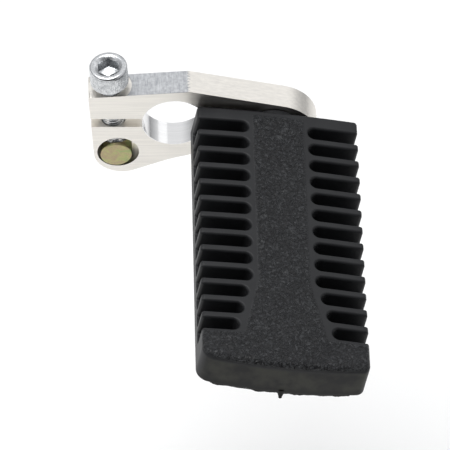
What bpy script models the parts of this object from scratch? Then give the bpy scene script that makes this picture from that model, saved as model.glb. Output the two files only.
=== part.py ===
"""Clamp-on foot peg: a split aluminium lever plate for a 22 mm bar, carrying a rubber tread.

Frame: metres, +Z up and square to the tread's top, +X to the right across the tread, +Y along the
bar and away from the tread's free end. The origin is the middle of the clamp bore, half-way
through the plate. The plate is turned about the bore so that the tread sits level.
"""

import math

import bmesh
import bpy
from mathutils import Matrix, Vector

MM = 0.001
GAP = 0.3 * MM                      # clearance between pieces that touch or screw together
RUN_OUT = 1.0 * MM                  # how far a cutter runs past the face that it opens
THREAD_TIP = 1.2 * MM               # chamfer on a screw's end

# Lever plate, in its own frame: X along the clamp slot, Z across it, Y through the thickness
PLATE_PITCH = math.radians(9.0)     # how far the slot climbs towards the tread
PLATE_THICKNESS = 9.7 * MM
PLATE_CHAMFER = 0.4 * MM
BORE_RADIUS = 11.0 * MM             # for a 22 mm bar
SLOT_WIDTH = 4.2 * MM
TOP_CLIMB = math.radians(4.8)       # the screw's face rises to the bend
ARM_FALL = math.radians(13.4)       # the arm's top edge falls from the bend
BEND = Vector((4.7, 16.0)) * MM
JAW_END_X = -28.75 * MM             # where the jaw ends cross the slot's middle line
ARM_END_X = 49.4 * MM
ARM_FOOT_Z = -14.8 * MM
JAW_FOOT = Vector((7.2, -14.8)) * MM
JAW_FOOT_RISE = math.radians(25.0)

# Clamp screw and its cross nut
NUT_HOLE_RADIUS = 7.2 * MM
NUT_HOLE_AT = Vector((-19.1, -15.1)) * MM
NUT_RADIUS = 5.5 * MM
NUT_LENGTH = 10.2 * MM
NUT_PROUD = 0.35 * MM               # how far the nut stands out of the plate's front face
NUT_AT = Vector((-19.75, -16.3)) * MM
NUT_EDGE = 0.5 * MM
SCREW_RADIUS = 4.0 * MM             # M8
SCREW_LENGTH = 35.0 * MM
SCREW_HOLE_RADIUS = 4.5 * MM
SCREW_LIFT = 2.8 * MM               # the screw is slack: its head stands this far off its seat
HEAD_RADIUS = 6.6 * MM
HEAD_HEIGHT = 8.0 * MM
HEAD_EDGE = 0.9 * MM
HEAD_FOOT_EDGE = 0.3 * MM
SOCKET_ACROSS = 6.0 * MM
SOCKET_DEPTH = 4.6 * MM
SOCKET_MOUTH_RADIUS = 4.7 * MM
SOCKET_MOUTH_DEPTH = 1.0 * MM
SEAT_RADIUS = 7.5 * MM
SEAT_DEPTH = 0.3 * MM

# Tread: moulded rubber over a flat steel core, in the assembly's frame
STEM_X = 33.85 * MM                 # axis of the core's boss and of the screw behind it
STEM_Z = 2.6 * MM
TREAD_WIDTH = 55.9 * MM             # at the rear
TREAD_FLARE = 0.9 * MM              # how much further each side stands out at the free end
TREAD_THICKNESS = 14.0 * MM
TREAD_TOP_Z = 11.3 * MM             # height of the top's long edges
TREAD_CROWN = 1.0 * MM              # rise of the top between them
TREAD_CLEAR = 1.2 * MM              # space between the tread and the plate
TREAD_LENGTH = 111.0 * MM           # along the long edges
TREAD_NOSE = 2.4 * MM               # how far the free end bulges
TREAD_CORNER = 3.0 * MM
TREAD_REAR_CORNER = 1.2 * MM
NOSE_POINTS = 7                     # points that the free end's bulge is drawn through
RIB_EDGE = 0.8 * MM
GROOVE_COUNT = 13
GROOVE_PITCH = 7.41 * MM
GROOVE_WIDTH = 4.6 * MM
GROOVE_DEPTH = 9.0 * MM
REAR_WALL = 5.6 * MM                # from the tread's rear face to the first groove
GROOVE_LENGTH = 17.5 * MM
SHORT_GROOVE_LENGTHS = (16.0 * MM, 13.8 * MM, 12.6 * MM)   # the last grooves, towards the free end

BELLY_RADIUS = 10.5 * MM            # rubber round the stem, under the tread's rear end
BELLY_LENGTH = 20.0 * MM
COLLAR_RADIUS = 9.6 * MM            # rubber lip round the boss, up to the plate

# Steel core
CORE_WIDTH = 18.0 * MM
CORE_THICKNESS = 6.0 * MM
CORE_LENGTH = 88.0 * MM
CORE_SETBACK = 14.3 * MM            # from the plate's front face to the flat bar
CORE_HOLES = 4                      # rubber grows through these and locks the bar
CORE_HOLE_RADIUS = 4.0 * MM
BOSS_RADIUS = 8.0 * MM
BOSS_THREAD_DEPTH = 10.5 * MM
BOSS_EDGE = 0.5 * MM

# Toothed washer between the boss and the plate, and the countersunk screw through both
WASHER_RADIUS = 8.0 * MM
WASHER_ROOT = 6.9 * MM
WASHER_THICKNESS = 0.9 * MM
WASHER_TEETH = 16
WASHER_CLEARANCE = 0.4 * MM         # round the screw
TOOTH_SHARE = 0.7                   # of the pitch, from one tooth's foot to its other foot
PEG_SCREW_RADIUS = 4.0 * MM         # M8
PEG_SCREW_LENGTH = 20.0 * MM
PEG_SCREW_HOLE_RADIUS = 4.4 * MM
PEG_SCREW_HEAD_RADIUS = 7.7 * MM
PEG_SCREW_SOCKET = 5.0 * MM
PEG_SCREW_SOCKET_DEPTH = 3.0 * MM
PEG_SCREW_LAND = 0.4 * MM           # straight edge of the head, above its cone
COUNTERSINK_RADIUS = 8.9 * MM       # a right-angled cone

HALF_PLATE = PLATE_THICKNESS / 2
FRONT_Y = -HALF_PLATE
TREAD_REAR_Y = FRONT_Y - TREAD_CLEAR
FINE = 64                           # sides of a large circle
COARSE = 32                         # sides of a small one


def clear_scene():
    """Remove whatever the file opened with."""
    for item in list(bpy.data.objects):
        bpy.data.objects.remove(item, do_unlink=True)


def finish(name, colour, roughness, metallic):
    """Return a plain Principled material."""
    material = bpy.data.materials.new(name)
    material.use_nodes = True
    shader = material.node_tree.nodes["Principled BSDF"]
    shader.inputs["Base Color"].default_value = (*colour, 1.0)
    shader.inputs["Roughness"].default_value = roughness
    shader.inputs["Metallic"].default_value = metallic
    return material


def add_object(name, bm, material=None, parent=None):
    """Turn a bmesh into a named object and shade its round faces smooth."""
    bmesh.ops.recalc_face_normals(bm, faces=bm.faces)
    mesh = bpy.data.meshes.new(name)
    bm.to_mesh(mesh)
    bm.free()
    mesh.shade_smooth()
    mesh.set_sharp_from_angle(angle=math.radians(35))
    if material:
        mesh.materials.append(material)
    item = bpy.data.objects.new(name, mesh)
    bpy.context.collection.objects.link(item)
    item.parent = parent
    return item


def add_empty(name, location, parent=None, turn_about_y=0.0):
    """Add a guide empty that carries pieces or marks a joint's axis."""
    item = bpy.data.objects.new(name, None)
    bpy.context.collection.objects.link(item)
    item.empty_display_size = 10 * MM
    item.parent = parent
    item.location = location
    item.rotation_euler.y = turn_about_y
    return item


def cut(target, cutter):
    """Take a hidden cutter's shape out of a piece with an exact Boolean."""
    cutter.hide_render = True
    cutter.display_type = "WIRE"
    boolean = target.modifiers.new("cut_" + cutter.name, "BOOLEAN")
    boolean.operation = "DIFFERENCE"
    boolean.solver = "EXACT"
    boolean.object = cutter


def join(target, guide):
    """Add a hidden guide's shape to a piece with an exact Boolean."""
    guide.hide_render = True
    guide.display_type = "WIRE"
    boolean = target.modifiers.new("join_" + guide.name, "BOOLEAN")
    boolean.operation = "UNION"
    boolean.solver = "EXACT"
    boolean.object = guide


def rounded_outline(corners, step=math.radians(6)):
    """Return the points of a polygon whose corners, given as (point, radius), are rounded."""
    points = []
    count = len(corners)
    for index, (corner, radius) in enumerate(corners):
        before = (corners[index - 1][0] - corner).normalized()
        after = (corners[(index + 1) % count][0] - corner).normalized()
        half = before.angle(after) / 2
        centre = corner + (before + after).normalized() * (radius / math.sin(half))
        start = corner + before * (radius / math.tan(half)) - centre
        sweep = start.angle_signed(corner + after * (radius / math.tan(half)) - centre)
        steps = max(2, math.ceil(abs(sweep) / step))
        for part in range(steps + 1):
            points.append(centre + Matrix.Rotation(-sweep * part / steps, 2) @ start)
    return points


def inset_outline(points, distance):
    """Return a closed outline moved inwards by a distance, its points given anticlockwise."""
    moved = []
    count = len(points)
    for index, point in enumerate(points):
        before = (point - points[index - 1]).normalized()
        after = (points[(index + 1) % count] - point).normalized()
        inward = Vector((-before.y - after.y, before.x + after.x)).normalized()
        stretch = max(0.5, inward.dot(Vector((-after.y, after.x))))
        moved.append(point + inward * (distance / stretch))
    return moved


def loft(rings):
    """Return a closed bmesh through equal rings of 3-D points, with flat ends."""
    bm = bmesh.new()
    loops = [[bm.verts.new(point) for point in ring] for ring in rings]
    count = len(loops[0])
    for low, high in zip(loops, loops[1:]):
        for index in range(count):
            following = (index + 1) % count
            bm.faces.new((low[index], low[following], high[following], high[index]))
    bm.faces.new(loops[0])
    bm.faces.new(loops[-1])
    return bm


def turned(profile, sides, bore=False):
    """Return a bmesh turned about Y from (radius, y) points; a bore closes the profile on itself."""
    rings = []
    for radius, along in profile:
        rings.append([
            Vector((radius * math.cos(math.tau * side / sides), along,
                    radius * math.sin(math.tau * side / sides)))
            for side in range(sides)
        ])
    if not bore:
        return loft(rings)
    bm = bmesh.new()
    loops = [[bm.verts.new(point) for point in ring] for ring in rings]
    for low, high in zip(loops, loops[1:] + loops[:1]):
        for index in range(sides):
            following = (index + 1) % sides
            bm.faces.new((low[index], low[following], high[following], high[index]))
    return bm


def prism(outline, low_y, high_y):
    """Return a bmesh of an XZ outline pulled along Y."""
    return loft([[Vector((point.x, along, point.y)) for point in outline]
                 for along in (low_y, high_y)])


def box(low, high):
    """Return a bmesh box between two corners."""
    bm = bmesh.new()
    bmesh.ops.create_cube(bm, size=1.0)
    size = Vector(high) - Vector(low)
    bmesh.ops.scale(bm, vec=size, verts=bm.verts)
    bmesh.ops.translate(bm, vec=(Vector(high) + Vector(low)) / 2, verts=bm.verts)
    return bm


def polygon(across, sides=6):
    """Return a regular outline of a width across its flats."""
    radius = across / 2 / math.cos(math.pi / sides)
    return [Vector((radius * math.cos(math.tau * side / sides),
                    radius * math.sin(math.tau * side / sides))) for side in range(sides)]


def hole_cutter(radius, sides):
    """Return a cutter for a hole through the plate, with both mouths chamfered."""
    reach = HALF_PLATE + RUN_OUT
    mouth = HALF_PLATE - PLATE_CHAMFER
    wide = radius + PLATE_CHAMFER + RUN_OUT
    return turned([(wide, -reach), (radius, -mouth), (radius, mouth), (wide, reach)], sides)


def along_screw(frame_point, distance):
    """Return the plate-frame point that lies a distance up the screw's axis."""
    return frame_point + Vector((-math.sin(TOP_CLIMB), math.cos(TOP_CLIMB))) * distance


def seat_height():
    """Return how far the screw's seat lies above the nut's middle, along the screw."""
    upwards = Vector((-math.sin(TOP_CLIMB), math.cos(TOP_CLIMB)))
    return upwards.dot(BEND - NUT_AT) - SEAT_DEPTH


def make_bracket(frame, material):
    """Model the lever plate with its bore, slot and holes."""
    def jaw_end(height):
        return Vector((JAW_END_X - math.tan(TOP_CLIMB) * height, height))

    climb = math.tan(TOP_CLIMB)
    top_left_z = (BEND.y + climb * (JAW_END_X - BEND.x)) / (1 + climb * climb)
    rise = math.tan(JAW_FOOT_RISE)
    foot_z = (JAW_FOOT.y + (JAW_END_X - JAW_FOOT.x) * rise) / (1 + climb * rise)
    arm_top_z = BEND.y - math.tan(ARM_FALL) * (ARM_END_X - BEND.x)
    outline = rounded_outline([
        (jaw_end(top_left_z), 1.0 * MM),
        (jaw_end(foot_z), 9.9 * MM),
        (JAW_FOOT, 58.0 * MM),
        (Vector((ARM_END_X, ARM_FOOT_Z)), 7.0 * MM),
        (Vector((ARM_END_X, arm_top_z)), 15.5 * MM),
        (BEND, 2.0 * MM),
    ])
    rings = []
    for along, inset in ((-HALF_PLATE, PLATE_CHAMFER), (PLATE_CHAMFER - HALF_PLATE, 0.0),
                         (HALF_PLATE - PLATE_CHAMFER, 0.0), (HALF_PLATE, PLATE_CHAMFER)):
        rings.append([Vector((point.x, along, point.y)) for point in inset_outline(outline, inset)])
    bracket = add_object("clamp_bracket", loft(rings), material, frame)

    bore = add_object("bore_cutter", hole_cutter(BORE_RADIUS, FINE), parent=frame)
    nut_hole = add_object("nut_hole_cutter", hole_cutter(NUT_HOLE_RADIUS, FINE), parent=frame)
    nut_hole.location = (NUT_HOLE_AT.x, 0, NUT_HOLE_AT.y)
    reach = HALF_PLATE + RUN_OUT
    slot = add_object("slot_cutter", box((2 * JAW_END_X, -reach, -SLOT_WIDTH / 2),
                                         (-BORE_RADIUS / 2, reach, SLOT_WIDTH / 2)), parent=frame)
    depth = COUNTERSINK_RADIUS - PEG_SCREW_HOLE_RADIUS
    stem_hole = turned([(PEG_SCREW_HOLE_RADIUS, -reach), (PEG_SCREW_HOLE_RADIUS, HALF_PLATE - depth),
                        (COUNTERSINK_RADIUS + RUN_OUT, reach)], COARSE)
    stem_hole = add_object("stem_hole_cutter", stem_hole, parent=frame)
    stem = stem_in_plate()
    stem_hole.location = (stem.x, 0, stem.y)
    seat = seat_height()
    screw_hole = turned([(SCREW_HOLE_RADIUS, 0), (SCREW_HOLE_RADIUS, seat),
                         (SEAT_RADIUS, seat), (SEAT_RADIUS, seat + RUN_OUT)], COARSE)
    screw_hole = add_object("screw_hole_cutter", screw_hole, parent=frame)
    place_on_screw(screw_hole, 0.0)
    for cutter in (bore, nut_hole, slot, stem_hole, screw_hole):
        cut(bracket, cutter)
    return bracket


def stem_in_plate():
    """Return the stem's axis in the plate's frame."""
    return Matrix.Rotation(-PLATE_PITCH, 2) @ Vector((STEM_X, STEM_Z))


def place_on_screw(item, distance):
    """Stand a piece turned about Y on the screw's axis, a distance above the nut's middle."""
    point = along_screw(NUT_AT, distance)
    item.location = (point.x, 0, point.y)
    item.rotation_euler = (math.pi / 2, -TOP_CLIMB, 0)


def make_screw(frame, material):
    """Model the socket head screw, slack by its lift, with its underside at its own origin."""
    edge = [(HEAD_RADIUS - HEAD_EDGE * (1 - math.sin(angle)),
             HEAD_HEIGHT - HEAD_EDGE * (1 - math.cos(angle)))
            for angle in (math.radians(90 - 18 * step) for step in range(6))]
    profile = [(SCREW_RADIUS - THREAD_TIP, -SCREW_LENGTH), (SCREW_RADIUS, THREAD_TIP - SCREW_LENGTH),
               (SCREW_RADIUS, 0), (HEAD_RADIUS - HEAD_FOOT_EDGE, 0), (HEAD_RADIUS, HEAD_FOOT_EDGE), *edge]
    screw = add_object("clamp_screw", turned(profile, COARSE), material, frame)
    place_on_screw(screw, seat_height() + SCREW_LIFT)
    floor = HEAD_HEIGHT - SOCKET_DEPTH
    socket = add_object("socket_cutter", prism(polygon(SOCKET_ACROSS), floor, HEAD_HEIGHT + RUN_OUT),
                        parent=screw)
    mouth = turned([(SOCKET_ACROSS / 2 - GAP, HEAD_HEIGHT - SOCKET_MOUTH_DEPTH),
                    (SOCKET_MOUTH_RADIUS, HEAD_HEIGHT),
                    (SOCKET_MOUTH_RADIUS, HEAD_HEIGHT + RUN_OUT)], COARSE)
    mouth = add_object("socket_mouth_cutter", mouth, parent=screw)
    cut(screw, socket)
    cut(screw, mouth)
    return screw


def make_nut(frame, material):
    """Model the cross nut, lying low in its roomy hole, with its tapped hole on the screw's axis."""
    front = FRONT_Y - NUT_PROUD
    back = front + NUT_LENGTH
    profile = [(NUT_RADIUS - NUT_EDGE, front), (NUT_RADIUS, front + NUT_EDGE),
               (NUT_RADIUS, back - NUT_EDGE), (NUT_RADIUS - NUT_EDGE, back)]
    nut = add_object("barrel_nut", turned(profile, FINE), material, frame)
    nut.location = (NUT_AT.x, 0, NUT_AT.y)
    thread = turned([(SCREW_RADIUS + GAP, -2 * NUT_RADIUS), (SCREW_RADIUS + GAP, 2 * NUT_RADIUS)],
                    COARSE)
    thread = add_object("nut_thread_cutter", thread, parent=frame)
    place_on_screw(thread, 0.0)
    cut(nut, thread)
    return nut


def tread_outline():
    """Return the tread's plan, anticlockwise from above, with its free end bulging towards -Y."""
    half = TREAD_WIDTH / 2
    wide = half + TREAD_FLARE
    end = TREAD_REAR_Y - TREAD_LENGTH
    bulge = (wide * wide + TREAD_NOSE * TREAD_NOSE) / (2 * TREAD_NOSE)
    nose = []
    for part in range(1, NOSE_POINTS + 1):
        across = -wide + 2 * wide * part / (NOSE_POINTS + 1)
        rise = math.sqrt(bulge * bulge - across * across) - (bulge - TREAD_NOSE)
        nose.append((Vector((STEM_X + across, end - rise)), 1.0 * MM))
    return rounded_outline([
        (Vector((STEM_X - half, TREAD_REAR_Y)), TREAD_REAR_CORNER),
        (Vector((STEM_X - wide, end)), TREAD_CORNER),
        *nose,
        (Vector((STEM_X + wide, end)), TREAD_CORNER),
        (Vector((STEM_X + half, TREAD_REAR_Y)), TREAD_REAR_CORNER),
    ], step=math.radians(20))


def groove_length(index):
    """Return how far a groove runs in from the tread's side."""
    short = index - (GROOVE_COUNT - len(SHORT_GROOVE_LENGTHS))
    return GROOVE_LENGTH if short < 0 else SHORT_GROOVE_LENGTHS[short]


def make_grooves():
    """Return one hidden cutter that holds every groove of both sides, with rounded inner ends."""
    bm = bmesh.new()
    radius = GROOVE_WIDTH / 2
    half = TREAD_WIDTH / 2
    for index in range(GROOVE_COUNT):
        middle = TREAD_REAR_Y - REAR_WALL - radius - index * GROOVE_PITCH
        for side in (-1, 1):
            reach = half - groove_length(index) + radius
            plan = [(side * (half + TREAD_FLARE + RUN_OUT), radius)]
            for step in range(7):
                angle = math.pi * step / 6
                plan.append((side * (reach - radius * math.sin(angle)), radius * math.cos(angle)))
            plan.append((side * (half + TREAD_FLARE + RUN_OUT), -radius))
            if side < 0:
                plan.reverse()
            top = TREAD_TOP_Z + TREAD_CROWN + RUN_OUT
            low = [bm.verts.new((STEM_X + x, middle + y, TREAD_TOP_Z - GROOVE_DEPTH)) for x, y in plan]
            high = [bm.verts.new((STEM_X + x, middle + y, top)) for x, y in plan]
            bm.faces.new(low)
            bm.faces.new(high)
            for place in range(len(plan)):
                following = (place + 1) % len(plan)
                bm.faces.new((low[place], low[following], high[following], high[place]))
    return add_object("groove_cutter", bm)


def make_core_cavity():
    """Return the hidden cutter for the space that the steel core fills in the rubber."""
    plate = box((STEM_X - CORE_WIDTH / 2 - GAP, core_end() - GAP, STEM_Z - CORE_THICKNESS / 2 - GAP),
                (STEM_X + CORE_WIDTH / 2 + GAP, FRONT_Y - CORE_SETBACK + GAP,
                 STEM_Z + CORE_THICKNESS / 2 + GAP))
    cavity = add_object("core_cavity_cutter", plate)
    for index, at in enumerate(core_hole_places()):
        radius = CORE_HOLE_RADIUS - GAP
        pillar = turned([(radius, -CORE_THICKNESS), (radius, CORE_THICKNESS)], COARSE // 2)
        pillar = add_object(f"pillar_cutter_{index}", pillar)
        pillar.location = (STEM_X, at, STEM_Z)
        pillar.rotation_euler.x = math.pi / 2
        cut(cavity, pillar)
    return cavity


def core_end():
    """Return where the steel core stops, short of the free end."""
    return FRONT_Y - CORE_SETBACK - CORE_LENGTH


def core_hole_places():
    """Return the places along the core of the holes that lock the rubber."""
    spacing = CORE_LENGTH / (CORE_HOLES + 0.5)
    return [FRONT_Y - CORE_SETBACK - spacing * (index + 0.75) for index in range(CORE_HOLES)]


def make_tread(material):
    """Model the rubber tread with its crowned top, side grooves and core cavity."""
    plan = tread_outline()
    half = TREAD_WIDTH / 2

    def ring(height, inset, crown):
        points = []
        for point in inset_outline(plan, inset):
            share = min(1.0, abs(point.x - STEM_X) / half)
            points.append(Vector((point.x, point.y, height + crown * (1 - share * share))))
        return points

    bottom = TREAD_TOP_Z - TREAD_THICKNESS
    rings = [ring(bottom, RIB_EDGE, 0.0), ring(bottom + RIB_EDGE, 0.0, 0.0),
             ring(TREAD_TOP_Z - RIB_EDGE, 0.0, TREAD_CROWN), ring(TREAD_TOP_Z, RIB_EDGE, TREAD_CROWN)]
    bm = bmesh.new()
    loops = [[bm.verts.new(point) for point in one] for one in rings]
    count = len(loops[0])
    for low, high in zip(loops, loops[1:]):
        for index in range(count):
            following = (index + 1) % count
            bm.faces.new((low[index], low[following], high[following], high[index]))
    bm.faces.new(loops[0])
    bmesh.ops.triangle_fill(bm, use_beauty=True, use_dissolve=False,
                            edges=[bm.edges.get((loops[-1][index], loops[-1][(index + 1) % count]))
                                   for index in range(count)])
    tread = add_object("tread_pad", bm, material)
    belly = [Vector((BELLY_RADIUS * math.cos(angle), BELLY_RADIUS * math.sin(angle)))
             for angle in (math.pi * (1 + step / 16) for step in range(17))]
    belly = prism(belly, TREAD_REAR_Y - BELLY_LENGTH, TREAD_REAR_Y - RIB_EDGE)
    belly = add_object("belly_guide", belly)
    belly.location = (STEM_X, 0, STEM_Z)
    join(tread, belly)
    collar = turned([(COLLAR_RADIUS, TREAD_REAR_Y - RIB_EDGE), (COLLAR_RADIUS, FRONT_Y - GAP)], COARSE)
    collar = add_object("collar_guide", collar)
    collar.location = (STEM_X, 0, STEM_Z)
    join(tread, collar)
    cut(tread, make_grooves())
    cut(tread, make_core_cavity())
    boss = turned([(BOSS_RADIUS + GAP, FRONT_Y - CORE_SETBACK), (BOSS_RADIUS + GAP, FRONT_Y)], COARSE)
    boss = add_object("boss_cavity_cutter", boss)
    boss.location = (STEM_X, 0, STEM_Z)
    cut(tread, boss)
    return tread


def make_core(material):
    """Model the flat steel bar that stiffens the tread, with its locking holes."""
    plate = box((STEM_X - CORE_WIDTH / 2, core_end(), STEM_Z - CORE_THICKNESS / 2),
                (STEM_X + CORE_WIDTH / 2, FRONT_Y - CORE_SETBACK, STEM_Z + CORE_THICKNESS / 2))
    core = add_object("core_plate", plate, material)
    for index, at in enumerate(core_hole_places()):
        ends = [(CORE_HOLE_RADIUS, -CORE_THICKNESS), (CORE_HOLE_RADIUS, CORE_THICKNESS)]
        hole = turned(ends, COARSE // 2)
        hole = add_object(f"core_hole_cutter_{index}", hole)
        hole.location = (STEM_X, at, STEM_Z)
        hole.rotation_euler.x = math.pi / 2
        cut(core, hole)
    return core


def blind_turned(profile, sides):
    """Return a bmesh turned about Y whose profile starts and ends on the axis."""
    bm = bmesh.new()
    rings = []
    for radius, along in profile:
        steps = range(sides if radius else 1)
        rings.append([bm.verts.new((radius * math.cos(math.tau * side / sides), along,
                                    radius * math.sin(math.tau * side / sides))) for side in steps])
    for low, high in zip(rings, rings[1:]):
        for index in range(sides):
            following = (index + 1) % sides
            corners = low if len(low) == 1 else [low[index], low[following]]
            corners = corners + (high if len(high) == 1 else [high[following], high[index]])
            bm.faces.new(corners)
    return bm


def make_boss(material):
    """Model the tapped round boss that is welded to the flat bar and bears on the plate."""
    rear = FRONT_Y - WASHER_THICKNESS - 2 * GAP
    front = FRONT_Y - CORE_SETBACK + GAP
    floor = rear - BOSS_THREAD_DEPTH
    thread = PEG_SCREW_RADIUS + GAP
    edge = BOSS_EDGE
    profile = [(0.0, front), (BOSS_RADIUS, front), (BOSS_RADIUS, rear - edge), (BOSS_RADIUS - edge, rear),
               (thread + edge, rear), (thread, rear - edge), (thread, floor), (0.0, floor)]
    boss = add_object("core_boss", blind_turned(profile, COARSE), material)
    boss.location = (STEM_X, 0, STEM_Z)
    return boss


def make_washer(material):
    """Model the toothed washer that bites the boss and the plate and holds the tread's angle."""
    rear = FRONT_Y - GAP
    bore = PEG_SCREW_RADIUS + WASHER_CLEARANCE
    tooth_shape = ((0.0, WASHER_ROOT), (0.3, WASHER_RADIUS), (0.7, WASHER_RADIUS), (1.0, WASHER_ROOT))
    outline = []
    for tooth in range(WASHER_TEETH):
        for share, radius in tooth_shape:
            angle = math.tau * (tooth + TOOTH_SHARE * share) / WASHER_TEETH
            outline.append(Vector((radius * math.cos(angle), radius * math.sin(angle))))
    washer = add_object("toothed_washer", prism(outline, rear - WASHER_THICKNESS, rear), material)
    washer.location = (STEM_X, 0, STEM_Z)
    hole = turned([(bore, rear - WASHER_THICKNESS - RUN_OUT), (bore, rear + RUN_OUT)], COARSE)
    hole = add_object("washer_hole_cutter", hole, parent=washer)
    cut(washer, hole)
    return washer


def make_peg_screw(material):
    """Model the countersunk socket screw that draws the boss against the plate, flush behind it."""
    top = HALF_PLATE - GAP
    end = top - PEG_SCREW_LENGTH
    cone = top - PEG_SCREW_LAND - (PEG_SCREW_HEAD_RADIUS - PEG_SCREW_RADIUS)
    profile = [(PEG_SCREW_RADIUS - THREAD_TIP, end), (PEG_SCREW_RADIUS, end + THREAD_TIP),
               (PEG_SCREW_RADIUS, cone), (PEG_SCREW_HEAD_RADIUS, top - PEG_SCREW_LAND),
               (PEG_SCREW_HEAD_RADIUS, top)]
    screw = add_object("peg_screw", turned(profile, COARSE), material)
    screw.location = (STEM_X, 0, STEM_Z)
    socket = prism(polygon(PEG_SCREW_SOCKET), top - PEG_SCREW_SOCKET_DEPTH, top + RUN_OUT)
    cut(screw, add_object("peg_socket_cutter", socket, parent=screw))
    return screw


def main():
    """Build the foot peg."""
    clear_scene()
    aluminium = finish("milled_aluminium", (0.79, 0.77, 0.73), 0.42, 1.0)
    chrome = finish("bright_zinc", (0.72, 0.73, 0.74), 0.2, 1.0)
    yellow = finish("yellow_zinc", (0.56, 0.55, 0.36), 0.35, 1.0)
    steel = finish("bare_steel", (0.42, 0.42, 0.43), 0.45, 1.0)
    rubber = finish("black_rubber", (0.035, 0.036, 0.038), 0.6, 0.0)

    plate_frame = add_empty("plate_frame", (0, 0, 0), turn_about_y=-PLATE_PITCH)
    make_bracket(plate_frame, aluminium)
    make_screw(plate_frame, chrome)
    make_nut(plate_frame, yellow)

    peg_axis = add_empty("peg_axis", (STEM_X, FRONT_Y, STEM_Z))
    for piece in (make_tread(rubber), make_core(steel), make_boss(steel), make_washer(chrome)):
        piece.parent = peg_axis
        piece.matrix_parent_inverse = Matrix.Translation(-peg_axis.location)
    make_peg_screw(chrome)


main()
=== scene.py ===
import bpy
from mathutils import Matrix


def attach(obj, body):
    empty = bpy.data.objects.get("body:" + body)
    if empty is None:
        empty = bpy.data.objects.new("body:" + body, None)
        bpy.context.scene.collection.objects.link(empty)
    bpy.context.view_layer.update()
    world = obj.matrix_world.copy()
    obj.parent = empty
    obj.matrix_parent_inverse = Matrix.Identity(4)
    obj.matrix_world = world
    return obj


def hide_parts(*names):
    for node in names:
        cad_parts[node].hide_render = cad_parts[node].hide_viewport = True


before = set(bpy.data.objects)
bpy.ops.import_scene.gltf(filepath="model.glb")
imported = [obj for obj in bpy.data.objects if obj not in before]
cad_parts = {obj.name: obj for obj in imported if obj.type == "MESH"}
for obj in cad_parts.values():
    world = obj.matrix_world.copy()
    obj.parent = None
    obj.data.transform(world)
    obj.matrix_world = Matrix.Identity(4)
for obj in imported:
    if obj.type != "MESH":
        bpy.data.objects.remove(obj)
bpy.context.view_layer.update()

"""Looks of a clamp-on foot peg: a milled lever plate, its slack clamp screw and cross nut, and a
ribbed rubber tread on a steel core.

Units are metres, in the frame of the CAD model: the origin is the middle of the clamp bore, +Z is
square to the tread's top, +Y runs along the bar and away from the tread's free end. The plate has a
frame of its own, X along the clamp's slot and Z across it, which is pitched about the bore.
"""

import logging
import math
import random
from dataclasses import dataclass, field
from enum import Enum
from typing import Any, Sequence

import bmesh
import bpy
from mathutils import Matrix, Vector

MM = 0.001
WELD = 0.002 * MM
TO_BACK = Matrix.Rotation(-math.pi / 2, 4, "X")  # turns +Z into +Y
TO_FRONT = Matrix.Rotation(math.pi / 2, 4, "X")  # turns +Z into -Y
LOG = logging.getLogger("foot_peg")
Colour = tuple[float, float, float]


class Body(Enum):
    """The rigid bodies that the pieces ride on."""

    BRACKET = "bracket"
    CLAMP_SCREW = "clamp_screw"
    PEG = "peg"
    PEG_SCREW = "peg_screw"


class Slot(Enum):
    """The finishes that the record names."""

    PLATE = "plate"
    SCREW = "screw"
    NUT = "nut"
    TREAD = "tread"
    CORE = "core"
    SMALL = "small_hardware"


class Side(Enum):
    """The two long sides of the tread, as signs along X."""

    CLAMP = -1
    OUTER = 1


# ---------------------------------------------------------------- node graphs


class Field:
    """A node's output that takes part in Python expressions, each of which adds a Math node."""

    def __init__(self, graph: "Graph", socket: bpy.types.NodeSocket) -> None:
        """Wrap a socket of a graph."""
        self.graph = graph
        self.socket = socket

    def __add__(self, other: Any) -> "Field":
        """Return self + other."""
        return self.graph.math("ADD", self, other)

    def __radd__(self, other: Any) -> "Field":
        """Return other + self."""
        return self.graph.math("ADD", other, self)

    def __sub__(self, other: Any) -> "Field":
        """Return self - other."""
        return self.graph.math("SUBTRACT", self, other)

    def __rsub__(self, other: Any) -> "Field":
        """Return other - self."""
        return self.graph.math("SUBTRACT", other, self)

    def __mul__(self, other: Any) -> "Field":
        """Return self * other."""
        return self.graph.math("MULTIPLY", self, other)

    def __rmul__(self, other: Any) -> "Field":
        """Return other * self."""
        return self.graph.math("MULTIPLY", other, self)

    def __truediv__(self, other: Any) -> "Field":
        """Return self / other."""
        return self.graph.math("DIVIDE", self, other)

    def __abs__(self) -> "Field":
        """Return the absolute value."""
        return self.graph.math("ABSOLUTE", self)

    def least(self, other: Any) -> "Field":
        """Return the smaller of self and other."""
        return self.graph.math("MINIMUM", self, other)

    def most(self, other: Any) -> "Field":
        """Return the larger of self and other."""
        return self.graph.math("MAXIMUM", self, other)

    def clamped(self) -> "Field":
        """Return the value held between 0 and 1."""
        return self.graph.math("ADD", self, 0.0, clamp=True)

    def fraction(self) -> "Field":
        """Return the fractional part."""
        return self.graph.math("FRACT", self)

    def ramp(self, low: float, high: float) -> "Field":
        """Return 0 below low and 1 above high, straight between; low may be the larger."""
        return ((self - low) / (high - low)).clamped()


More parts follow.
